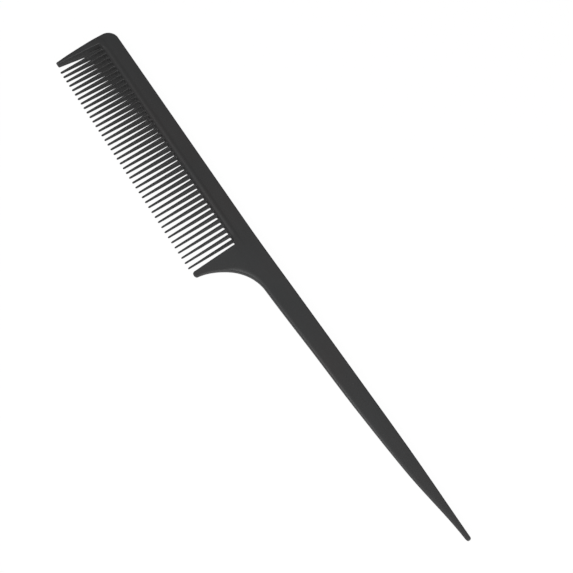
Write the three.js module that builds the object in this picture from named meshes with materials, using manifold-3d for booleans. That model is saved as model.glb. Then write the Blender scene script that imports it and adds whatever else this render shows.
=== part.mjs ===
// Rat tail comb: a straight spine with a row of fine teeth between two guards, and a long flat
// tail that narrows to a point. The whole comb is one moulding in stiff black plastic. Each
// region of it is a mesh of its own, and neighbours meet on a shared plane.
// x runs from the toe to the point of the tail, the teeth point along -y, and z is the thickness.

import * as THREE from "three";
import { mergeVertices } from "three/addons/utils/BufferGeometryUtils.js";
import Module from "manifold-3d";

const wasm = await Module();
wasm.setup();

// Driving dimensions, in millimetres.
const thickness = 4; // of the spine, the heel and the tail's root
const spineWidth = 7.55; // from the back edge to the roots of the teeth
const bevelRise = 0.75; // rounded bevel round both faces: its height
const bevelReach = 0.6; // and how far it comes in from the edge, where the tips leave room

const toothCount = 42;
const toothPitch = 2.25;
const toothLength = 18.25;
const toothRootWidth = 0.85; // along the row
const toothTipWidth = 0.6;
const toothTipDepth = 0.6; // through the thickness

const guardTipThickness = 2.0;
const toeLength = 17.7; // from the root line to the toe guard's tip
const toeWidth = 3.3; // of the toe guard at the root line
const toeTipInset = 0.95; // how far the toe's outer edge has come in at its tip
const toeTipRadius = 0.5;
const toeCornerRadius = 4.4; // where the toe turns into the back edge
const heelLength = 17.9; // from the root line to the heel guard's tip
const heelTipRadius = 1.05;
const heelLean = 0.3; // how far the heel's inner edge leans away from the teeth
const sweepRun = 17.6; // how far the hollow curve runs from the heel's tip to the tail
const sweepDrop = 5.6; // how long it still runs nearly straight down by the heel's tip
const sweepLean = 0.7; // and how far it leans away from that straight line
const sweepEase = 11; // and nearly straight along before it meets the tail

const tailLength = 99.6; // from the end of the sweep to the point
const tailWidths = [8.2, 7.4, 6.6, 4.95, 1.6]; // at even steps from its root to its point
const tailPointThickness = 1.6;
const backRises = [0, 0.57, 1.16, 1.63, 1.5]; // of the back edge, at even steps past the spine

// Places that follow from them.
const middle = thickness / 2;
const rootLine = -spineWidth;
const guardLength = Math.max(toeLength, heelLength);
const toothRootDepth = thickness - 2 * bevelRise;
const bevelRun = Math.min(bevelReach, 0.8 * toeTipRadius, 0.8 * heelTipRadius);
const spineStart = toeWidth;
const spineEnd = spineStart + (toothCount + 1) * toothPitch - toothRootWidth;
const heelTipX = spineEnd + heelLean + heelTipRadius;
const tailStart = heelTipX + heelTipRadius + sweepRun;
const tailEnd = tailStart + tailLength;

const blackPlastic = new THREE.MeshStandardMaterial({
  color: 0x3a3b3d,
  roughness: 0.55,
  metalness: 0,
});

// A closed geometry as a solid that can be cut.
function solidOf(geometry) {
  geometry.deleteAttribute("normal");
  geometry.deleteAttribute("uv");
  const merged = mergeVertices(geometry, 1e-4);
  return new wasm.Manifold(
    new wasm.Mesh({
      numProp: 3,
      vertProperties: merged.attributes.position.array,
      triVerts: new Uint32Array(merged.index.array),
    }),
  );
}

function geometryOf(solid) {
  const { vertProperties, triVerts } = solid.getMesh();
  const geometry = new THREE.BufferGeometry();
  geometry.setAttribute("position", new THREE.BufferAttribute(vertProperties, 3));
  geometry.setIndex(new THREE.BufferAttribute(triVerts, 1));
  geometry.computeVertexNormals();
  return geometry;
}

function plasticMesh(name, geometry) {
  const mesh = new THREE.Mesh(geometry, blackPlastic);
  mesh.name = name;
  return mesh;
}

// The height of a smooth curve through values at even steps, at a share of its length.
function smoothValue(values, share) {
  const points = values.map((value, i) => new THREE.Vector2(i, value));
  return new THREE.SplineCurve(points).getPoint(share).y;
}

// The comb's back edge is straight along the spine and rises a little from the heel on.
function backEdgeAt(x) {
  return smoothValue(backRises, (x - spineEnd) / (tailEnd - spineEnd));
}

// A rectangle with rounded corners, counterclockwise, as [across, up] pairs round its centre.
function roundedSection(width, depth, cornerRun, cornerRise, cornerSteps) {
  const quarter = [];
  for (let i = 0; i <= cornerSteps; i++) {
    const turn = ((i / cornerSteps) * Math.PI) / 2;
    const across = width / 2 - cornerRun * (1 - Math.cos(turn));
    const up = depth / 2 - cornerRise * (1 - Math.sin(turn));
    quarter.push([across, up]);
  }
  const mirrored = quarter.map(([across, up]) => [-across, up]).reverse();
  const upperHalf = [...quarter, ...mirrored];
  return [...upperHalf, ...upperHalf.map(([across, up]) => [-across, -up])];
}

// A closed skin over a row of rings. Each ring turns counterclockwise round the way they run.
function loft(rings) {
  const count = rings[0].length;
  const last = (rings.length - 1) * count;
  const faces = [];
  for (let start = 0; start < last; start += count) {
    for (let i = 0; i < count; i++) {
      const a = start + i;
      const b = start + ((i + 1) % count);
      faces.push(a, b, b + count);
      faces.push(a, b + count, a + count);
    }
  }
  for (let i = 1; i < count - 1; i++) {
    faces.push(0, i + 1, i);
    faces.push(last, last + i, last + i + 1);
  }
  const geometry = new THREE.BufferGeometry().setFromPoints(rings.flat());
  geometry.setIndex(faces);
  geometry.computeVertexNormals();
  return geometry;
}

// The toe, the spine, the heel and its sweep, seen from above.
function headOutline() {
  const pastTail = tailStart + thickness; // a little too long, so that the tail's plane cuts it
  const sweepEndY = backEdgeAt(tailStart) - tailWidths[0];
  const heelTipY = rootLine - heelLength + heelTipRadius;
  const toeTipY = rootLine - toeLength + toeTipRadius;
  const outline = new THREE.Shape();
  outline.moveTo(spineStart, rootLine);
  outline.lineTo(spineEnd, rootLine);
  outline.absarc(heelTipX, heelTipY, heelTipRadius, Math.PI, 2 * Math.PI);
  outline.bezierCurveTo(
    heelTipX + heelTipRadius + sweepLean, heelTipY + sweepDrop,
    tailStart - sweepEase, sweepEndY,
    tailStart, sweepEndY,
  );
  outline.lineTo(pastTail, sweepEndY);
  const backSteps = 6;
  for (let i = 0; i <= backSteps; i++) {
    const x = THREE.MathUtils.lerp(pastTail, spineEnd, i / backSteps);
    outline.lineTo(x, backEdgeAt(x));
  }
  outline.absarc(toeCornerRadius, -toeCornerRadius, toeCornerRadius, Math.PI / 2, Math.PI);
  outline.quadraticCurveTo(0, (rootLine + toeTipY) / 2, toeTipInset, toeTipY);
  outline.absarc(toeTipInset + toeTipRadius, toeTipY, toeTipRadius, Math.PI, 2 * Math.PI);
  return outline;
}

// A wedge that slopes one face of the guards down from the root line to their tips.
function guardRelief(turnOver) {
  const slope = (thickness - guardTipThickness) / 2 / guardLength;
  const reach = guardLength + thickness;
  const wedge = new THREE.Shape();
  wedge.moveTo(0, middle);
  wedge.lineTo(reach, middle - reach * slope);
  wedge.lineTo(reach, thickness);
  wedge.lineTo(0, thickness);
  const relief = new THREE.ExtrudeGeometry(wedge, { depth: 2 * tailEnd, bevelEnabled: false });
  const alongComb = new THREE.Matrix4().makeBasis(
    new THREE.Vector3(0, -1, 0),
    new THREE.Vector3(0, 0, 1),
    new THREE.Vector3(-1, 0, 0),
  );
  relief.applyMatrix4(alongComb);
  relief.translate(tailEnd, rootLine, 0);
  relief.rotateY(turnOver);
  relief.translate(0, 0, middle);
  return solidOf(relief);
}

// The head as one plate with rounded edges on both faces.
function headSolid() {
  const points = headOutline().getPoints(14);
  const distinct = points.filter((point, i) => point.distanceTo(points.at(i - 1)) > 0.001);
  const plate = new THREE.ExtrudeGeometry(new THREE.Shape(distinct), {
    depth: toothRootDepth,
    bevelThickness: bevelRise,
    bevelSize: bevelRun,
    bevelOffset: -bevelRun,
    bevelSegments: 2,
  });
  plate.translate(0, 0, bevelRise);
  return solidOf(plate).subtract(guardRelief(0)).subtract(guardRelief(Math.PI));
}

// The stretch of the head between two planes across the comb.
function headRegion(name, head, from, to) {
  const tall = 4 * (spineWidth + guardLength);
  const block = new THREE.BoxGeometry(to - from, tall, tall);
  block.translate((from + to) / 2, 0, 0);
  return plasticMesh(name, geometryOf(head.intersect(solidOf(block))));
}

// The tail is a flat bar whose width and thickness fall to a small rounded point.
function tail() {
  const steps = 16;
  const tipSteps = 4;
  const lastTurn = 0.45 * Math.PI; // the point's last ring is small but not closed
  const tipRadius = tailWidths.at(-1) / 2;
  const ring = (x, width, depth, centreY) => {
    const cornerRun = (bevelRun * width) / tailWidths[0];
    const cornerRise = (bevelRise * depth) / thickness;
    return roundedSection(width, depth, cornerRun, cornerRise, 2).map(
      ([across, up]) => new THREE.Vector3(x, centreY + across, middle + up),
    );
  };
  const rings = [];
  for (let i = 0; i <= steps; i++) {
    const share = i / steps;
    const x = THREE.MathUtils.lerp(tailStart, tailEnd - tipRadius, share);
    const width = smoothValue(tailWidths, share);
    const depth = THREE.MathUtils.lerp(thickness, tailPointThickness, share);
    rings.push(ring(x, width, depth, backEdgeAt(x) - width / 2));
  }
  const tipY = backEdgeAt(tailEnd - tipRadius) - tipRadius;
  for (let i = 1; i <= tipSteps; i++) {
    const turn = (i / tipSteps) * lastTurn;
    const x = tailEnd - tipRadius * (1 - Math.sin(turn) / Math.sin(lastTurn));
    const shrink = Math.cos(turn);
    rings.push(ring(x, 2 * tipRadius * shrink, tailPointThickness * shrink, tipY));
  }
  return plasticMesh("tail", loft(rings));
}

// One tooth: a slim blade, deep at the root, that thins towards its rounded tip.
function tooth(number) {
  const stations = [0, 0.35, 0.7, 0.97, 1];
  const tipShrink = 0.5; // of the last ring
  const cornerShare = 0.3;
  const x = spineStart + number * toothPitch - toothRootWidth / 2;
  const rings = stations.map((share) => {
    const shrink = share === 1 ? tipShrink : 1;
    const width = shrink * THREE.MathUtils.lerp(toothRootWidth, toothTipWidth, share);
    const depth = shrink * THREE.MathUtils.lerp(toothRootDepth, toothTipDepth, share);
    const corner = cornerShare * width;
    return roundedSection(width, depth, corner, corner, 1).map(
      ([across, up]) => new THREE.Vector3(x + across, rootLine - share * toothLength, middle + up),
    );
  });
  return plasticMesh("tooth_" + String(number).padStart(2, "0"), loft(rings));
}

function teeth() {
  const row = new THREE.Group();
  for (let number = 1; number <= toothCount; number++) {
    row.add(tooth(number));
  }
  return row;
}

// The origin is on the underside, at the middle of the comb's length and of its width.
function comb() {
  const head = headSolid();
  const whole = new THREE.Group();
  whole.add(headRegion("toe_guard", head, -toeWidth, spineStart));
  whole.add(headRegion("spine", head, spineStart, spineEnd));
  whole.add(headRegion("heel_guard", head, spineEnd, tailStart));
  whole.add(tail());
  whole.add(teeth());
  const box = new THREE.Box3().setFromObject(whole);
  const centre = box.getCenter(new THREE.Vector3());
  whole.position.set(-centre.x, -centre.y, -box.min.z);
  const placed = new THREE.Group();
  placed.add(whole);
  return placed;
}

export default comb();
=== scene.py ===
import math

import bmesh
import bpy
from mathutils import Matrix, Vector


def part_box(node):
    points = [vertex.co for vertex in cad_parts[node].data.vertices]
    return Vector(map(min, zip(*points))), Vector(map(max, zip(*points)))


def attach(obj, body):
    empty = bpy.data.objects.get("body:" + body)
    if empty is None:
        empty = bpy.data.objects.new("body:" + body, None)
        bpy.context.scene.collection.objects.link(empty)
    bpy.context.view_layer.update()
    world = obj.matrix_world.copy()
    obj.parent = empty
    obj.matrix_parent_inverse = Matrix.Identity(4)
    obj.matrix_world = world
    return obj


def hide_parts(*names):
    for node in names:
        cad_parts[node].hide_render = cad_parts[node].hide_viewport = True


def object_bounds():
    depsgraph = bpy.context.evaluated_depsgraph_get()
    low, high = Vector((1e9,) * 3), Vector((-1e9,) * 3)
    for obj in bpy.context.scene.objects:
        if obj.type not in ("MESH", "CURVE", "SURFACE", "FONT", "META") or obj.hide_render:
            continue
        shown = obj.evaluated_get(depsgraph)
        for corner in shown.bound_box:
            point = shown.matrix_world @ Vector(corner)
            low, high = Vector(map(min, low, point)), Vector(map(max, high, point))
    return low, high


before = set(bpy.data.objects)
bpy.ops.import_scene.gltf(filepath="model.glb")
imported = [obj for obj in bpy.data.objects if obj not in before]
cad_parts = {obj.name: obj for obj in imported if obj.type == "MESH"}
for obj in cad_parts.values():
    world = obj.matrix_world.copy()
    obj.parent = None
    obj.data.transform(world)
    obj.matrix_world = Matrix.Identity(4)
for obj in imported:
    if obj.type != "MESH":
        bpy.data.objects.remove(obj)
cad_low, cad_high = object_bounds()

# ---- Head of the comb: toe guard, spine and heel guard ----
# The stiff bar that is held in the fingers, with a guard at each end of the row of teeth. It is
# one injection moulding in black plastic with the tail and the teeth. The two mould halves part
# at mid thickness, so every wall leans in a little from a faint parting line.

MM = 0.001
NEAR = 1e-6

toe_low, toe_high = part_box("toe_guard")
spine_low, spine_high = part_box("spine")
heel_low, heel_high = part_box("heel_guard")
tail_low, tail_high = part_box("tail")

MIDDLE = (spine_low.z + spine_high.z) / 2
HALF_THICKNESS = (spine_high.z - spine_low.z) / 2
ROOT_LINE = spine_low.y
BACK_LINE = spine_high.y
TOE_EDGE = toe_low.x

# The back's rise over the head's straight line and the tail's width, at even steps from the heel
# to the tail's point.
BACK_RISES = [0.0, 0.57 * MM, 1.16 * MM, 1.63 * MM, 1.5 * MM]
TAIL_WIDTHS = [8.2 * MM, 7.4 * MM, 6.6 * MM, 4.95 * MM, 1.6 * MM]


def smooth_value(values, share):
    """The height of a smooth curve through values at even steps, at a share of its length."""
    place = share * (len(values) - 1)
    i = min(max(int(math.floor(place)), 0), len(values) - 2)
    t = place - i
    before = values[max(i - 1, 0)]
    here = values[i]
    after = values[i + 1]
    beyond = values[min(i + 2, len(values) - 1)]
    rise_here = (after - before) / 2
    rise_after = (beyond - here) / 2
    return (
        (2 * here - 2 * after + rise_here + rise_after) * t**3
        + (3 * after - 3 * here - 2 * rise_here - rise_after) * t**2
        + rise_here * t
        + here
    )


def back_edge(x):
    """The comb's back: straight along the head, then the low rise and fall of the tail."""
    share = (x - spine_high.x) / (tail_high.x - spine_high.x)
    return BACK_LINE + smooth_value(BACK_RISES, min(max(share, 0), 1))


def arc(x, y, radius, start, end, steps):
    """Places along an arc, between two directions in degrees."""
    turns = [math.radians(start + (end - start) * i / steps) for i in range(steps + 1)]
    return [(x + radius * math.cos(turn), y + radius * math.sin(turn)) for turn in turns]


def bezier(controls, steps):
    """Places along the smooth curve that those control places pull into shape."""
    points = [Vector(c) for c in controls]
    curve = []
    for i in range(steps + 1):
        level = points
        while len(level) > 1:
            level = [a.lerp(b, i / steps) for a, b in zip(level, level[1:])]
        curve.append(tuple(level[0]))
    return curve


# The rounded edges of the moulding: how far each comes in over the face, and how far down the
# wall it starts.
CRISP_EDGE = (0.2 * MM, 0.35 * MM)
BACK_EDGE = (0.45 * MM, 0.45 * MM)
TOE_INNER_EDGE = (0.3 * MM, 1.0 * MM)
TOE_TIP_EDGE = (0.3 * MM, 0.8 * MM)
ROOT_SHOULDER = (1.7 * MM, 1.45 * MM)
SWEEP_EDGE = (1.7 * MM, 0.8 * MM)
BELLY_EDGE = (1.2 * MM, 0.6 * MM)

# Where along the sweep its edge changes, as shares of its length.
SWEEP_EDGE_START = 0.36
SWEEP_EDGE_FADE = 0.22
BELLY_EDGE_START = 0.65


def soft_step(value):
    """0 up to 0, 1 from 1 on, and smooth between them."""
    value = min(max(value, 0), 1)
    return value * value * (3 - 2 * value)


def between(first, second, share):
    """An edge part of the way from one kind of rounded edge to another."""
    share = soft_step(share)
    return tuple(a + (b - a) * share for a, b in zip(first, second))


def sweep_edge(share):
    """The heel guard's edge along its sweep: crisp at the tip, then broad, then the belly's."""
    sweep = between(CRISP_EDGE, SWEEP_EDGE, (share - SWEEP_EDGE_START) / SWEEP_EDGE_FADE)
    return between(sweep, BELLY_EDGE, (share - BELLY_EDGE_START) / (1 - BELLY_EDGE_START))


TOE_TIP_INSET = 0.95 * MM
TOE_TIP_RADIUS = 0.5 * MM
TOE_CORNER_RADIUS = 4.4 * MM
HEEL_TIP_RADIUS = 1.05 * MM
HEEL_LEAN = 0.3 * MM
SWEEP_DROP = 5.6 * MM
SWEEP_LEAN = 0.7 * MM
SWEEP_EASE = 11.0 * MM
GAP_CORNER = 0.5 * MM

# Where the round corners beside the row of teeth meet the two guards, in degrees.
TOE_GUARD_TURN = 184
HEEL_GUARD_TURN = 1

# The shoulder over the tooth roots fades out towards both guards over this length, and this
# share of the change is left for the corners.
SHOULDER_FADE = 3.0 * MM
CORNER_SHOULDER = 0.1

# The edge of the toe guard's tip goes over into that of its inner wall along this share of it.
TOE_TIP_EDGE_END = 0.5

# How many steps each stretch of the outline has.
FADE_STEPS = 10
GAP_CORNER_STEPS = 8
HEEL_TIP_STEPS = 24
SWEEP_STEPS = 56
BACK_STEPS = 12
TOE_CORNER_STEPS = 28
TOE_SIDE_STEPS = 24
TOE_TIP_STEPS = 20


def head_outline():
    """The head seen from above, counterclockwise, and a little of the tail's root. Each point
    is (place, edge), with the kind of rounded edge that the moulding has there."""
    heel_tip_x = spine_high.x + HEEL_LEAN + HEEL_TIP_RADIUS
    heel_tip_y = heel_low.y + HEEL_TIP_RADIUS
    toe_tip_y = toe_low.y + TOE_TIP_RADIUS
    sweep_end = (tail_low.x, back_edge(tail_low.x) - TAIL_WIDTHS[0])
    past_sweep = tail_low.x + 2 * HALF_THICKNESS
    row_start = toe_high.x + GAP_CORNER
    row_end = spine_high.x - GAP_CORNER
    points = []

    def add(places, edge_at):
        steps = max(len(places) - 1, 1)
        for i, place in enumerate(places):
            if not points or math.dist(place, points[-1][0]) > 2 * NEAR:
                points.append((place, edge_at(i / steps)))

    fade = [i / FADE_STEPS for i in range(1, FADE_STEPS + 1)]
    corner_y = ROOT_LINE - GAP_CORNER
    add(
        arc(row_start, corner_y, GAP_CORNER, TOE_GUARD_TURN, 90, GAP_CORNER_STEPS),
        lambda s: between(TOE_INNER_EDGE, ROOT_SHOULDER, CORNER_SHOULDER * s),
    )
    add(
        [(row_start + SHOULDER_FADE * i, ROOT_LINE) for i in fade],
        lambda s: between(
            TOE_INNER_EDGE, ROOT_SHOULDER, CORNER_SHOULDER + (1 - CORNER_SHOULDER) * s
        ),
    )
    add(
        [(row_end - SHOULDER_FADE * i, ROOT_LINE) for i in reversed(fade)],
        lambda s: between(ROOT_SHOULDER, CRISP_EDGE, (1 - CORNER_SHOULDER) * s),
    )
    add(
        arc(row_end, corner_y, GAP_CORNER, 90, HEEL_GUARD_TURN, GAP_CORNER_STEPS),
        lambda s: CRISP_EDGE,
    )
    add(
        arc(heel_tip_x, heel_tip_y, HEEL_TIP_RADIUS, 180, 360, HEEL_TIP_STEPS),
        lambda s: CRISP_EDGE,
    )
    sweep = bezier(
        [
            (heel_tip_x + HEEL_TIP_RADIUS, heel_tip_y),
            (heel_tip_x + HEEL_TIP_RADIUS + SWEEP_LEAN, heel_tip_y + SWEEP_DROP),
            (tail_low.x - SWEEP_EASE, sweep_end[1]),
            sweep_end,
        ],
        SWEEP_STEPS,
    )
    add(sweep, sweep_edge)
    add([(past_sweep, sweep_end[1])], lambda s: BELLY_EDGE)
    back_length = past_sweep - spine_high.x
    back_places = [past_sweep - back_length * i / BACK_STEPS for i in range(BACK_STEPS + 1)]
    add([(x, back_edge(x)) for x in back_places], lambda s: BACK_EDGE)
    toe_corner_x = TOE_EDGE + TOE_CORNER_RADIUS
    toe_corner_y = BACK_LINE - TOE_CORNER_RADIUS
    add(
        arc(toe_corner_x, toe_corner_y, TOE_CORNER_RADIUS, 90, 180, TOE_CORNER_STEPS),
        lambda s: between(BACK_EDGE, CRISP_EDGE, s),
    )
    outer = [
        (TOE_EDGE, toe_corner_y),
        (TOE_EDGE, (ROOT_LINE + toe_tip_y) / 2),
        (TOE_EDGE + TOE_TIP_INSET, toe_tip_y),
    ]
    add(bezier(outer, TOE_SIDE_STEPS), lambda s: CRISP_EDGE)
    tip_x = TOE_EDGE + TOE_TIP_INSET + TOE_TIP_RADIUS
    toe_tip = arc(tip_x, toe_tip_y, TOE_TIP_RADIUS, 180, 360, TOE_TIP_STEPS)
    add(toe_tip, lambda s: between(CRISP_EDGE, TOE_TIP_EDGE, s))
    inner = bezier([toe_tip[-1], (toe_high.x, corner_y)], TOE_SIDE_STEPS)
    add(inner[:-1], lambda s: between(TOE_TIP_EDGE, TOE_INNER_EDGE, s / TOE_TIP_EDGE_END))
    return points


# The parting line stands proud of the walls by its step, the walls lean in by their draft, and
# one ring on the flat face holds it flat beside the rounded edge.
EDGE_RINGS = 8
PARTING_STEP = 0.02 * MM
PARTING_HEIGHT = 0.04 * MM
WALL_DRAFT = 0.03 * MM
SUPPORT_RING = 0.1 * MM


def edge_rings(edge):
    """The rings of one moulded edge from mid thickness up to the face, each as how far it
    comes in and its height: parting line, wall with its draft, rounded edge, face."""
    run, rise = edge
    wall_in = PARTING_STEP + WALL_DRAFT
    wall_top = HALF_THICKNESS - rise
    rings = [(0.0, 0.0), (PARTING_STEP, PARTING_HEIGHT)]
    for i in range(EDGE_RINGS + 1):
        turn = math.pi / 2 * i / EDGE_RINGS
        rings.append((wall_in + run * (1 - math.cos(turn)), wall_top + rise * math.sin(turn)))
    rings.append((wall_in + run + SUPPORT_RING, HALF_THICKNESS))
    return rings


def plate_rings(outline):
    """Rings round a plate with that outline, from its underside to its upper side."""
    count = len(outline)
    columns = []
    for i, (place, edge) in enumerate(outline):
        here = Vector(place)
        arriving = (here - Vector(outline[i - 1][0])).normalized()
        leaving = (Vector(outline[(i + 1) % count][0]) - here).normalized()
        inward = (arriving + leaving).orthogonal().normalized()
        inward /= inward.dot(leaving.orthogonal())
        columns.append([(here + inward * reach, height) for reach, height in edge_rings(edge)])
    upper = list(zip(*columns))
    lower = [[(place, -height) for place, height in ring] for ring in reversed(upper[1:])]
    return [
        [Vector((place.x, place.y, MIDDLE + height)) for place, height in ring]
        for ring in lower + upper
    ]


def eased(distance, ease):
    """A ramp that starts softly: 0 at 0, and a straight slope of 1 from ease on."""
    if distance <= 0:
        return 0.0
    return distance * distance / (2 * ease) if distance < ease else distance - ease / 2


GUARD_TIP_THICKNESS = 2.0 * MM
GUARD_EASE = 3.0 * MM


def guard_thickness_share(y):
    """The guards get thinner from the root line to their tips."""
    length = ROOT_LINE - min(toe_low.y, heel_low.y)
    full_drop = HALF_THICKNESS - GUARD_TIP_THICKNESS / 2
    drop = full_drop * eased(ROOT_LINE - y, GUARD_EASE) / eased(length, GUARD_EASE)
    return 1 - drop / HALF_THICKNESS


def edit(piece):
    """Opens one object alone in edit mode, with all of it selected."""
    bpy.ops.object.select_all(action="DESELECT")
    piece.select_set(True)
    bpy.context.view_layer.objects.active = piece
    bpy.ops.object.mode_set(mode="EDIT")
    bpy.ops.mesh.select_all(action="SELECT")


def close_edit():
    bpy.ops.object.mode_set(mode="OBJECT")


def lofted(name, rings):
    """A closed body over a row of rings: the first is a filled circle primitive with its
    vertices set in place, and each of the others is extruded from the one before."""
    bpy.ops.object.select_all(action="DESELECT")
    bpy.ops.mesh.primitive_circle_add(vertices=len(rings[0]), radius=MM, fill_type="NGON")
    piece = bpy.context.object
    piece.name = name
    edit(piece)
    mesh = bmesh.from_edit_mesh(piece.data)
    order = mesh.verts.layers.int.new("order")
    for i, vertex in enumerate(mesh.verts):
        vertex[order] = i
    for ring in rings:
        if ring is not rings[0]:
            bpy.ops.mesh.extrude_region_move()
            mesh = bmesh.from_edit_mesh(piece.data)
            order = mesh.verts.layers.int["order"]
        for vertex in mesh.verts:
            if vertex.select:
                vertex.co = ring[vertex[order]]
        bmesh.update_edit_mesh(piece.data)
    mesh = bmesh.from_edit_mesh(piece.data)
    mesh.verts.layers.int.remove(mesh.verts.layers.int["order"])
    bmesh.update_edit_mesh(piece.data)
    bpy.ops.mesh.select_all(action="SELECT")
    bpy.ops.mesh.normals_make_consistent(inside=False)
    close_edit()
    return piece


SHARP_TURN = 35
FACE_WEIGHT = 60


def smooth_moulding(piece, name, material):
    """Even normals, flat faces that shade flat, and soft edges that shade round."""
    edit(piece)
    bpy.ops.mesh.remove_doubles(threshold=NEAR)
    bpy.ops.mesh.normals_make_consistent(inside=False)
    close_edit()
    bpy.ops.object.shade_smooth_by_angle(angle=math.radians(SHARP_TURN))
    weighted = piece.modifiers.new("flat_faces", "WEIGHTED_NORMAL")
    weighted.keep_sharp = True
    weighted.weight = FACE_WEIGHT
    bpy.ops.object.modifier_apply(modifier=weighted.name)
    piece.name = name
    piece.data.name = name
    piece.data.materials.clear()
    piece.data.materials.append(material)


def shader_group(name, inputs, outputs):
    """An empty shader node group with those sockets, and its input and output nodes."""
    tree = bpy.data.node_groups.new(name, "ShaderNodeTree")
    for socket, kind, value in inputs:
        made = tree.interface.new_socket(socket, in_out="INPUT", socket_type=kind)
        if value is not None:
            made.default_value = value
    for socket, kind in outputs:
        tree.interface.new_socket(socket, in_out="OUTPUT", socket_type=kind)
    start = tree.nodes.new("NodeGroupInput")
    end = tree.nodes.new("NodeGroupOutput")
    return tree, start, end


def node(tree, kind, **settings):
    """A new shader node with those settings."""
    made = tree.nodes.new(kind)
    for key, value in settings.items():
        setattr(made, key, value)
    return made


def math_node(tree, operation, first, second, clamp=False):
    """A math node on two values, each a socket or a number."""
    made = node(tree, "ShaderNodeMath", operation=operation, use_clamp=clamp)
    for socket, value in zip(made.inputs, (first, second)):
        if isinstance(value, (int, float)):
            socket.default_value = value
        else:
            tree.links.new(value, socket)
    return made.outputs[0]


def ramp(tree, value, low, high):
    """0 below low, 1 above high, and smooth between them."""
    made = node(tree, "ShaderNodeMapRange", interpolation_type="SMOOTHSTEP")
    tree.links.new(value, made.inputs["Value"])
    made.inputs["From Min"].default_value = low
    made.inputs["From Max"].default_value = high
    return made.outputs["Result"]


def stretched(tree, vector, scale, turn=0):
    """The same place on a pattern that is stretched, and turned by some degrees about Z."""
    made = node(tree, "ShaderNodeMapping")
    tree.links.new(vector, made.inputs["Vector"])
    made.inputs["Scale"].default_value = scale
    made.inputs["Rotation"].default_value = (0, 0, math.radians(turn))
    return made.outputs["Vector"]


def noise(tree, vector, scale, detail, roughness=0.5):
    """A noise pattern over a vector, about 0.5 on the whole."""
    made = node(tree, "ShaderNodeTexNoise")
    tree.links.new(vector, made.inputs["Vector"])
    made.inputs["Scale"].default_value = scale
    made.inputs["Detail"].default_value = detail
    made.inputs["Roughness"].default_value = roughness
    return made.outputs["Fac"]


# Scales of the plastic's patterns, in repeats per metre.
PITS_SCALE = 3200
GRIT_SCALE = 9500
STREAKS_SCALE = 420
CLOUDS_SCALE = 38
RUBBED_SCALE = 260
HAIRLINES_SCALE = 5200
SCRATCHED_SCALE = 120
DUST_SCALE = 900

# How far the streaks and the hairline scratches are drawn out along the comb.
STREAK_STRETCH = (0.12, 1.0, 1.0)
HAIRLINE_STRETCH = (0.03, 1.0, 1.0)
HAIRLINE_TURN = 7


def spark_grain_group():
    """The fine pitted grain of a spark-eroded mould: shallow soft pits and finer grit."""
    tree, start, end = shader_group(
        "spark_grain",
        [("Vector", "NodeSocketVector", None), ("Grit", "NodeSocketFloat", 0.35)],
        [("Height", "NodeSocketFloat"), ("Pits", "NodeSocketFloat")],
    )
    pits = ramp(tree, noise(tree, start.outputs["Vector"], PITS_SCALE, 3.0, 0.6), 0.3, 0.7)
    grit = noise(tree, start.outputs["Vector"], GRIT_SCALE, 2.0)
    share = math_node(tree, "MULTIPLY", grit, start.outputs["Grit"])
    height = math_node(tree, "ADD", pits, share)
    tree.links.new(height, end.inputs["Height"])
    tree.links.new(pits, end.inputs["Pits"])
    return tree


def flow_marks_group():
    """Long soft streaks that the plastic leaves as it fills the mould from end to end."""
    tree, start, end = shader_group(
        "flow_marks",
        [("Vector", "NodeSocketVector", None), ("Contrast", "NodeSocketFloat", 1.0)],
        [("Streaks", "NodeSocketFloat"), ("Clouds", "NodeSocketFloat")],
    )
    along = stretched(tree, start.outputs["Vector"], STREAK_STRETCH)
    streaks = noise(tree, along, STREAKS_SCALE, 3.0, 0.55)
    clouds = ramp(tree, noise(tree, start.outputs["Vector"], CLOUDS_SCALE, 2.0), 0.3, 0.7)
    centred = math_node(tree, "SUBTRACT", streaks, 0.5)
    scaled = math_node(tree, "MULTIPLY", centred, start.outputs["Contrast"])
    shifted = math_node(tree, "ADD", scaled, 0.5, clamp=True)
    tree.links.new(shifted, end.inputs["Streaks"])
    tree.links.new(clouds, end.inputs["Clouds"])
    return tree


def handling_group():
    """Marks of use: edges rubbed smooth in patches, and hairline scratches along the comb."""
    tree, start, end = shader_group(
        "handling",
        [("Vector", "NodeSocketVector", None), ("Edge Start", "NodeSocketFloat", 0.52)],
        [("Rubbed Edges", "NodeSocketFloat"), ("Scratches", "NodeSocketFloat")],
    )
    shape = node(tree, "ShaderNodeNewGeometry")
    pointed = shape.outputs["Pointiness"]
    over = math_node(tree, "SUBTRACT", pointed, start.outputs["Edge Start"])
    edges = ramp(tree, over, 0.0, 0.08)
    worn_places = noise(tree, start.outputs["Vector"], RUBBED_SCALE, 4.0, 0.6)
    patches = ramp(tree, worn_places, 0.35, 0.7)
    rubbed = math_node(tree, "MULTIPLY", edges, patches)
    tilted = stretched(tree, start.outputs["Vector"], HAIRLINE_STRETCH, HAIRLINE_TURN)
    hairs = ramp(tree, noise(tree, tilted, HAIRLINES_SCALE, 1.0), 0.66, 0.74)
    places = ramp(tree, noise(tree, start.outputs["Vector"], SCRATCHED_SCALE, 2.0), 0.5, 0.62)
    scratches = math_node(tree, "MULTIPLY", hairs, places)
    tree.links.new(rubbed, end.inputs["Rubbed Edges"])
    tree.links.new(scratches, end.inputs["Scratches"])
    return tree


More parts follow.
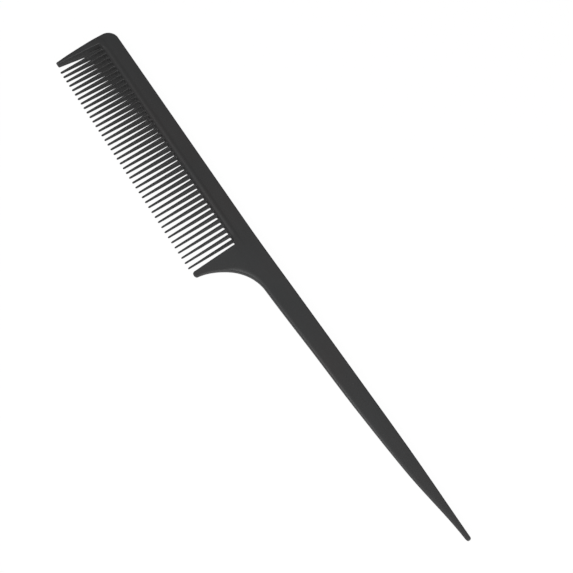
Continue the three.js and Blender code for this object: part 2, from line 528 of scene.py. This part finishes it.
def dust_group():
    """Sparse fine dust that settles on what faces up."""
    tree, start, end = shader_group(
        "settled_dust",
        [("Vector", "NodeSocketVector", None), ("Amount", "NodeSocketFloat", 0.5)],
        [("Dust", "NodeSocketFloat")],
    )
    specks = node(tree, "ShaderNodeTexVoronoi")
    specks.inputs["Scale"].default_value = DUST_SCALE
    tree.links.new(start.outputs["Vector"], specks.inputs["Vector"])
    near = math_node(tree, "SUBTRACT", 1.0, ramp(tree, specks.outputs["Distance"], 0.03, 0.11))
    parted = node(tree, "ShaderNodeSeparateColor")
    tree.links.new(specks.outputs["Color"], parted.inputs["Color"])
    chosen = ramp(tree, parted.outputs["Red"], 0.86, 0.9)
    shape = node(tree, "ShaderNodeNewGeometry")
    split = node(tree, "ShaderNodeSeparateXYZ")
    tree.links.new(shape.outputs["Normal"], split.inputs["Vector"])
    upward = ramp(tree, split.outputs["Z"], 0.5, 0.95)
    picked = math_node(tree, "MULTIPLY", near, chosen)
    settled = math_node(tree, "MULTIPLY", picked, upward)
    amount = math_node(tree, "MULTIPLY", settled, start.outputs["Amount"])
    tree.links.new(amount, end.inputs["Dust"])
    return tree


SPARK_GRAIN = spark_grain_group()
FLOW_MARKS = flow_marks_group()
HANDLING = handling_group()
SETTLED_DUST = dust_group()

COOL_BLACK = (0.0310, 0.0322, 0.0330, 1)
WARM_BLACK = (0.0350, 0.0325, 0.0325, 1)
RUBBED_BLACK = (0.05, 0.051, 0.053, 1)
DUST_GREY = (0.22, 0.21, 0.2, 1)

STREAK_CONTRAST = 1.4
STREAK_LIGHTER = 1.6
STREAK_SHARE = 0.3
EDGE_POINTINESS = 0.52
SCRATCH_SHARE = 0.5
SCRATCH_DEPTH = 0.6

# What each effect adds to the roughness or takes from it.
PITS_ROUGHNESS = 0.1
STREAK_ROUGHNESS = 0.08
RUBBED_ROUGHNESS = 0.14
DUST_ROUGHNESS = 0.3


def mixed_colour(tree, factor, first, second):
    """A mix of two colours, each a socket or a fixed colour, by a mask."""
    made = node(tree, "ShaderNodeMix", data_type="RGBA")
    tree.links.new(factor, made.inputs["Factor"])
    for socket, value in ((made.inputs[6], first), (made.inputs[7], second)):
        if isinstance(value, tuple):
            socket.default_value = value
        else:
            tree.links.new(value, socket)
    return made.outputs[2]


def moulded_black(name, cool, warm, roughness, grain_depth, grit, wear, dust):
    """Satin black moulded plastic: streaked colour, pitted grain, rubbed edges, a little dust."""
    material = bpy.data.materials.new(name)
    material.use_nodes = True
    tree = material.node_tree
    shader = tree.nodes["Principled BSDF"]
    shader.inputs["IOR"].default_value = 1.5
    place = node(tree, "ShaderNodeTexCoord").outputs["Object"]

    def effect(group, **values):
        made = node(tree, "ShaderNodeGroup", node_tree=group)
        tree.links.new(place, made.inputs["Vector"])
        for key, value in values.items():
            made.inputs[key.replace("_", " ")].default_value = value
        return made.outputs

    grain = effect(SPARK_GRAIN, Grit=grit)
    flow = effect(FLOW_MARKS, Contrast=STREAK_CONTRAST)
    marks = effect(HANDLING, Edge_Start=EDGE_POINTINESS)
    dusty = effect(SETTLED_DUST, Amount=dust)
    tone = mixed_colour(tree, flow["Clouds"], cool, warm)
    streak_black = tuple(STREAK_LIGHTER * part for part in cool[:3]) + (1,)
    streaks = math_node(tree, "MULTIPLY", flow["Streaks"], STREAK_SHARE)
    streaked = mixed_colour(tree, streaks, tone, streak_black)
    rubbed = math_node(tree, "MULTIPLY", marks["Rubbed Edges"], wear)
    scratched = math_node(tree, "MULTIPLY", marks["Scratches"], SCRATCH_SHARE * wear)
    worn = mixed_colour(tree, rubbed, streaked, RUBBED_BLACK)
    scuffed = mixed_colour(tree, scratched, worn, RUBBED_BLACK)
    dusted = mixed_colour(tree, dusty["Dust"], scuffed, DUST_GREY)
    tree.links.new(dusted, shader.inputs["Base Color"])
    pits = math_node(tree, "MULTIPLY", grain["Pits"], -PITS_ROUGHNESS)
    rough = math_node(tree, "ADD", pits, roughness + PITS_ROUGHNESS / 2)
    for mask, change in (
        (flow["Streaks"], STREAK_ROUGHNESS),
        (rubbed, -RUBBED_ROUGHNESS),
        (dusty["Dust"], DUST_ROUGHNESS),
    ):
        rough = math_node(tree, "ADD", rough, math_node(tree, "MULTIPLY", mask, change))
    tree.links.new(rough, shader.inputs["Roughness"])
    cut = math_node(tree, "MULTIPLY", marks["Scratches"], SCRATCH_DEPTH)
    height = math_node(tree, "SUBTRACT", grain["Height"], cut)
    bump = node(tree, "ShaderNodeBump")
    bump.inputs["Strength"].default_value = 1.0
    bump.inputs["Distance"].default_value = grain_depth
    tree.links.new(height, bump.inputs["Height"])
    tree.links.new(bump.outputs["Normal"], shader.inputs["Normal"])
    return material


body_plastic = moulded_black(
    "body_plastic", COOL_BLACK, WARM_BLACK, roughness=0.46, grain_depth=0.006 * MM, grit=0.35,
    wear=0.55, dust=0.35,
)

# The panel: the faces sink by its depth between its start and its end, measured from the edge of
# the row of teeth, and come level again over its fade at the heel.
PANEL_DEPTH = 0.13 * MM
PANEL_START = 1.7 * MM
PANEL_END = 2.9 * MM
PANEL_FADE = 8.0 * MM
GUARD_PANEL_LEAN = 0.3

# The flat faces are cut where the guards get thinner and where the faces sink.
GUARD_CUTS = (0.035, 0.07, 0.105, 0.14, 0.17, 0.3, 0.5, 0.7, 0.9)
CORNER_CUTS = 5
PANEL_CUTS = 7
FADE_CUTS = 8

head = lofted("head_moulding", plate_rings(head_outline()))
guard_length = ROOT_LINE - heel_low.y
corner_steps = [PANEL_START * i / CORNER_CUTS for i in range(CORNER_CUTS)]
panel_width = PANEL_END - PANEL_START
panel_steps = [PANEL_START + panel_width * i / PANEL_CUTS for i in range(PANEL_CUTS + 1)]
cuts_across = [ROOT_LINE - share * guard_length for share in GUARD_CUTS]
cuts_across += [ROOT_LINE + step for step in panel_steps + corner_steps]
cuts_along = [toe_high.x - step for step in corner_steps + panel_steps]
cuts_along += [spine_high.x + PANEL_FADE * (i / FADE_CUTS - 0.5) for i in range(FADE_CUTS + 1)]
edit(head)
for places, direction in ((cuts_across, (0, 1, 0)), (cuts_along, (1, 0, 0))):
    for place in places:
        bpy.ops.mesh.select_all(action="SELECT")
        bpy.ops.mesh.bisect(
            plane_co=[place * part for part in direction], plane_no=direction, threshold=NEAR
        )
close_edit()


def panel_drop(x, y):
    """The faces sink a little behind the raised line that runs round the row of teeth."""
    guard_share = max(ROOT_LINE - y, 0) / guard_length
    inner_edge = toe_high.x - guard_share * (toe_high.x - toe_low.x) * GUARD_PANEL_LEAN
    beside = max(inner_edge - x, 0)
    above = max(y - ROOT_LINE, 0)
    rise = soft_step((math.hypot(beside, above) - PANEL_START) / panel_width)
    fade = soft_step((spine_high.x + PANEL_FADE / 2 - x) / PANEL_FADE)
    return PANEL_DEPTH * rise * fade


for vertex in head.data.vertices:
    x, y, z = vertex.co
    thickness_share = guard_thickness_share(y) - panel_drop(x, y) / HALF_THICKNESS
    vertex.co.z = MIDDLE + (z - MIDDLE) * thickness_share


def head_stretch(name, start, end):
    """The stretch of the head between two planes across it, closed at both."""
    bpy.ops.object.select_all(action="DESELECT")
    head.select_set(True)
    bpy.context.view_layer.objects.active = head
    bpy.ops.object.duplicate()
    piece = bpy.context.object
    edit(piece)
    for x, outward in ((start, -1), (end, 1)):
        bpy.ops.mesh.select_all(action="SELECT")
        bpy.ops.mesh.bisect(
            plane_co=(x, 0, 0), plane_no=(outward, 0, 0), use_fill=True, clear_outer=True,
            threshold=NEAR,
        )
    close_edit()
    smooth_moulding(piece, name, body_plastic)
    return piece


SEAM_PAST_CORNER = 0.7 * MM
toe_seam = toe_high.x + SEAM_PAST_CORNER
heel_seam = spine_high.x - SEAM_PAST_CORNER

toe_guard = head_stretch("toe_guard_moulding", TOE_EDGE - MM, toe_seam)
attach(toe_guard, "root")
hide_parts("toe_guard")

spine = head_stretch("spine_moulding", toe_seam, heel_seam)
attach(spine, "root")
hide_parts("spine")

heel_guard = head_stretch("heel_guard_moulding", heel_seam, tail_low.x)
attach(heel_guard, "root")
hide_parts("heel_guard")

bpy.data.objects.remove(head)

# ---- Tail ----
# The long flat handle that parts and lifts sections of hair. It is moulded in one with the head,
# keeps the head's rounded edges, and gets narrower and thinner to a small blunt point.

TAIL_TIP_THICKNESS = 1.6 * MM
TAIL_EASE = 12 * MM
TAIL_STATIONS = 40

# The blunt point: how many sections it has, how near to closed the last one is, how full it is
# from the side, and the most of the width that its two rounded edges may take.
POINT_STATIONS = 8
POINT_CLOSE = 0.97
POINT_FULLNESS = 0.8
EDGES_SHARE = 0.9


def tail_section(x, low_y, high_y, thickness_share):
    """The tail cut across at x: the head's own two edges, mirrored above and below."""
    back = edge_rings(BACK_EDGE)
    belly = edge_rings(BELLY_EDGE)
    fit = min(1, EDGES_SHARE * (high_y - low_y) / (back[-1][0] + belly[-1][0]))
    upper = [(high_y - inset * fit, rise) for inset, rise in back]
    upper += [(low_y + inset * fit, rise) for inset, rise in reversed(belly)]
    lower = [(y, -rise) for y, rise in reversed(upper[1:-1])]
    return [Vector((x, y, MIDDLE + rise * thickness_share)) for y, rise in upper + lower]


def tail_rings():
    """Sections from the head to the tail's point, the last few round its blunt end."""
    tip_radius = TAIL_WIDTHS[-1] / 2
    length = tail_high.x - tip_radius - tail_low.x
    full_drop = 1 - TAIL_TIP_THICKNESS / (2 * HALF_THICKNESS)
    rings = []
    for i in range(TAIL_STATIONS + 1):
        share = i / TAIL_STATIONS
        x = tail_low.x + share * length
        width = smooth_value(TAIL_WIDTHS, share)
        drop = full_drop * eased(share * length, TAIL_EASE) / eased(length, TAIL_EASE)
        high = back_edge(x)
        rings.append(tail_section(x, high - width, high, 1 - drop))
    centre = back_edge(tail_high.x - tip_radius) - tip_radius
    last_turn = math.pi / 2 * POINT_CLOSE
    for i in range(1, POINT_STATIONS + 1):
        turn = last_turn * i / POINT_STATIONS
        x = tail_high.x - tip_radius * (1 - math.sin(turn) / math.sin(last_turn))
        reach = tip_radius * math.cos(turn)
        thickness_share = (1 - full_drop) * math.cos(turn) ** POINT_FULLNESS
        rings.append(tail_section(x, centre - reach, centre + reach, thickness_share))
    return rings


tail = lofted("tail_moulding", tail_rings())
smooth_moulding(tail, "tail_moulding", body_plastic)
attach(tail, "root")
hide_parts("tail")

# ---- Teeth ----
# Forty-two slim teeth of the same plastic, moulded in one with the spine. Each grows out of a
# small fillet at its root, is widest at mid thickness so that it leaves the mould, and thins
# towards a rounded tip. One tooth is modelled and copied along the row.

TOOTH_COUNT = 42
TOOTH_WIDTH = 0.85 * MM
TOOTH_TIP_WIDTH = 0.6 * MM
TOOTH_DEPTH = 2.5 * MM
TOOTH_TIP_DEPTH = 0.6 * MM
TOOTH_FILLET = 0.4 * MM
TOOTH_TIP_ROUND = 0.55 * MM
TOOTH_INTO_SPINE = 0.5 * MM

# The corners' radius and the draft of the sides, as shares of the tooth's width.
TOOTH_CORNER_SHARE = 0.28
TOOTH_DRAFT_SHARE = 0.03

TOOTH_CORNER_STEPS = 4
TOOTH_FILLET_STEPS = 5
TOOTH_STATIONS = 6
TOOTH_TIP_STEPS = 6
TOOTH_TIP_CLOSE = 0.96

# Hair keeps the teeth cleaner and glossier than the body. Their two blacks are darker than the
# body's, though it is the same plastic: painted shade, for the shade that falls on the slim teeth
# between their narrow gaps.
TEETH_COOL_BLACK_WITH_PAINTED_SHADE = (0.0250, 0.0260, 0.0268, 1)
TEETH_WARM_BLACK_WITH_PAINTED_SHADE = (0.0280, 0.0262, 0.0262, 1)

# The teeth's material: the body's plastic, with painted shade in its darker blacks.
teeth_plastic_with_painted_shade = moulded_black(
    "teeth_plastic_with_painted_shade", TEETH_COOL_BLACK_WITH_PAINTED_SHADE, TEETH_WARM_BLACK_WITH_PAINTED_SHADE, roughness=0.4,
    grain_depth=0.003 * MM, grit=0.2, wear=0.3, dust=0.15,
)

first_low, first_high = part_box("tooth_01")
second_low, second_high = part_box("tooth_02")
TOOTH_PITCH = second_low.x - first_low.x
TOOTH_LENGTH = first_high.y - first_low.y


def tooth_section(x, y, width, depth):
    """The tooth cut across at y: flat sides that lean in from mid thickness, round corners."""
    corner = TOOTH_CORNER_SHARE * width
    side = width / 2
    draft = TOOTH_DRAFT_SHARE * width
    quarter = [(side, 0.0)]
    for i in range(TOOTH_CORNER_STEPS + 1):
        turn = math.pi / 2 * i / TOOTH_CORNER_STEPS
        across = side - draft - corner * (1 - math.cos(turn))
        quarter.append((across, depth / 2 - corner * (1 - math.sin(turn))))
    upper = quarter + [(-across, up) for across, up in reversed(quarter)]
    lower = [(across, -up) for across, up in reversed(upper[1:-1])]
    return [Vector((x + across, y, MIDDLE + up)) for across, up in upper + lower]


def tooth_rings(x):
    """Sections of one tooth from inside the spine, past its fillet, to its rounded tip."""
    rings = []

    def add(distance, flare, shrink=1.0):
        share = max(distance, 0) / TOOTH_LENGTH
        width = TOOTH_WIDTH + (TOOTH_TIP_WIDTH - TOOTH_WIDTH) * share + 2 * flare
        depth = TOOTH_DEPTH + (TOOTH_TIP_DEPTH - TOOTH_DEPTH) * share + flare
        rings.append(tooth_section(x, first_high.y - distance, width * shrink, depth * shrink))

    add(-TOOTH_INTO_SPINE, TOOTH_FILLET)
    for i in range(TOOTH_FILLET_STEPS + 1):
        turn = math.pi / 2 * i / TOOTH_FILLET_STEPS
        add(TOOTH_FILLET * (1 - math.cos(turn)), TOOTH_FILLET * (1 - math.sin(turn)))
    straight_end = TOOTH_LENGTH - TOOTH_TIP_ROUND
    for i in range(1, TOOTH_STATIONS + 1):
        add(TOOTH_FILLET + (straight_end - TOOTH_FILLET) * i / TOOTH_STATIONS, 0)
    last_turn = math.pi / 2 * TOOTH_TIP_CLOSE
    for i in range(1, TOOTH_TIP_STEPS + 1):
        turn = last_turn * i / TOOTH_TIP_STEPS
        reach = math.sin(turn) / math.sin(last_turn)
        add(straight_end + TOOTH_TIP_ROUND * reach, 0, math.cos(turn))
    return rings


first_tooth = lofted("tooth_moulding_01", tooth_rings((first_low.x + first_high.x) / 2))
smooth_moulding(first_tooth, "tooth_moulding_01", teeth_plastic_with_painted_shade)
teeth = [first_tooth]
for number in range(2, TOOTH_COUNT + 1):
    tooth = first_tooth.copy()
    tooth.data = first_tooth.data.copy()
    tooth.data.transform(Matrix.Translation(((number - 1) * TOOTH_PITCH, 0, 0)))
    tooth.name = f"tooth_moulding_{number:02d}"
    tooth.data.name = tooth.name
    bpy.context.scene.collection.objects.link(tooth)
    teeth.append(tooth)
for number, tooth in enumerate(teeth, 1):
    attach(tooth, "root")
    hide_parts(f"tooth_{number:02d}")

# ---- Floor, light and camera ----
# A plain white table top that glows a little, in a pale room that is darker towards the horizon,
# with four soft lights: the main one and a fill on the teeth's side, one past the tail and a faint
# one overhead. The camera looks almost straight down.

FLOOR_DROP = 0.1 * MM
FLOOR_SIZE = 6
FLOOR_GLOW = 0.52
FLOOR_GLOW_SEEN = 0.97
TABLE_WHITE = (0.05, 0.05, 0.05, 1)
TABLE_ROUGHNESS = 0.9

bpy.ops.object.select_all(action="DESELECT")
bpy.ops.mesh.primitive_plane_add(size=FLOOR_SIZE, location=(0, 0, cad_low.z - FLOOR_DROP))
floor = bpy.context.object
floor.name = "table_top"
table_white = bpy.data.materials.new("table_white")
table_white.use_nodes = True
table_shader = table_white.node_tree.nodes["Principled BSDF"]
table_shader.inputs["Base Color"].default_value = TABLE_WHITE
table_shader.inputs["Roughness"].default_value = TABLE_ROUGHNESS
table_shader.inputs["Specular IOR Level"].default_value = 0.0
table_shader.inputs["Emission Color"].default_value = (1, 1, 1, 1)
seen_by = node(table_white.node_tree, "ShaderNodeLightPath")
glow = node(table_white.node_tree, "ShaderNodeMapRange")
glow.inputs["To Min"].default_value = FLOOR_GLOW
glow.inputs["To Max"].default_value = FLOOR_GLOW_SEEN
table_white.node_tree.links.new(seen_by.outputs["Is Camera Ray"], glow.inputs["Value"])
table_white.node_tree.links.new(glow.outputs["Result"], table_shader.inputs["Emission Strength"])
floor.data.materials.append(table_white)

ROOM_TOP = 0.9
ROOM_AT_HORIZON = 0.08
ROOM_OVERHEAD = 0.27
ROOM_SEEN = 0.9

room = bpy.data.worlds.new("soft_room")
bpy.context.scene.world = room
room.use_nodes = True
room.node_tree.nodes["Background"].inputs["Color"].default_value = (1, 1, 1, 1)
way = node(room.node_tree, "ShaderNodeTexCoord")
split = node(room.node_tree, "ShaderNodeSeparateXYZ")
room.node_tree.links.new(way.outputs["Generated"], split.inputs["Vector"])
sky = node(room.node_tree, "ShaderNodeMapRange")
room.node_tree.links.new(split.outputs["Z"], sky.inputs["Value"])
sky.inputs["From Max"].default_value = ROOM_TOP
sky.inputs["To Min"].default_value = ROOM_AT_HORIZON
sky.inputs["To Max"].default_value = ROOM_OVERHEAD
seen = node(room.node_tree, "ShaderNodeLightPath").outputs["Is Camera Ray"]
strength = node(room.node_tree, "ShaderNodeMix")
room.node_tree.links.new(seen, strength.inputs["Factor"])
room.node_tree.links.new(sky.outputs["Result"], strength.inputs["A"])
strength.inputs["B"].default_value = ROOM_SEEN
room.node_tree.links.new(
    strength.outputs["Result"], room.node_tree.nodes["Background"].inputs["Strength"]
)


def soft_light(name, location, target, size, power):
    """A rectangular soft box, long side level, that faces the target."""
    bpy.ops.object.light_add(type="AREA", location=location)
    lamp = bpy.context.object
    lamp.name = name
    lamp.data.shape = "RECTANGLE"
    lamp.data.size, lamp.data.size_y = size
    lamp.data.energy = power
    aim = Vector(target) - Vector(location)
    lamp.rotation_euler = aim.to_track_quat("-Z", "Y").to_euler()
    return lamp


soft_light("key_light", (0.24, -0.54, 0.65), (0.0, 0.0, 0.0), (0.34, 0.3), 2.8)
soft_light("fill_light", (-0.32, -0.45, 0.7), (-0.05, 0.0, 0.0), (0.7, 0.25), 0.9)
soft_light("tail_side_light", (1.45, 0.1, 0.74), (-0.05, 0.0, 0.0), (1.0, 0.5), 9.0)
soft_light("top_light", (-0.12, 0.1, 0.8), (0.0, 0.0, 0.0), (0.35, 0.35), 0.2)

CAMERA_PLACE = (0.038064, -0.011123, 0.152649)
CAMERA_TURN = (12.714, -1.385, 55.868)
SENSOR_WIDTH = 36
FOCAL_LENGTH = 28.27
NEAREST_SEEN = 0.01

bpy.ops.object.camera_add(
    location=CAMERA_PLACE, rotation=[math.radians(angle) for angle in CAMERA_TURN]
)
camera = bpy.context.object
camera.data.sensor_width = SENSOR_WIDTH
camera.data.lens = FOCAL_LENGTH
camera.data.clip_start = NEAREST_SEEN
bpy.context.scene.camera = camera
bpy.context.scene.view_settings.view_transform = "Standard"
